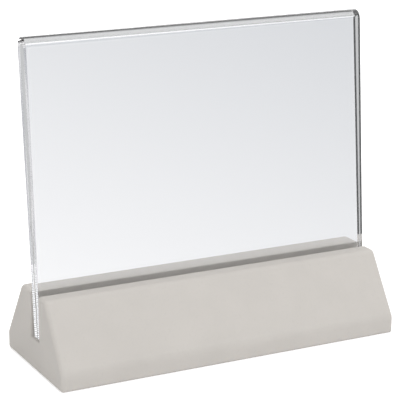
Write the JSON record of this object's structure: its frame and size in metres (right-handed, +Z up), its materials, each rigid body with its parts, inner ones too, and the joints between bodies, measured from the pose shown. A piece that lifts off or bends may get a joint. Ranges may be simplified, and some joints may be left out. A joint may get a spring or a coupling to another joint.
{
  "type": "tabletop sign stand",
  "caption": "Tabletop sign stand: a clear sheet, folded double at the top, leans in the slot of a bevelled matt base block and lifts out.",
  "frame": {"origin": "centre of the base block's underside, on the surface that it stands on", "axes": "+X along the base from left to right seen from the front, +Y towards the back, +Z up"},
  "size_m": [0.18, 0.068, 0.1576],
  "materials": {
    "base_paint": "smooth matt greige paint",
    "clear_acrylic": "clear, polished edges"
  },
  "bodies": {
    "base": {"base_block": "base_paint"},
    "holder": {"front_leaf": "clear_acrylic", "back_leaf": "clear_acrylic", "sheet_fold": "clear_acrylic"}
  },
  "joints": [
    {"name": "holder_lift", "type": "slide", "parent": "base", "child": "holder", "axis": [0, 0.0837, 0.9965], "range_m": [0, 0.024]}
  ]
}
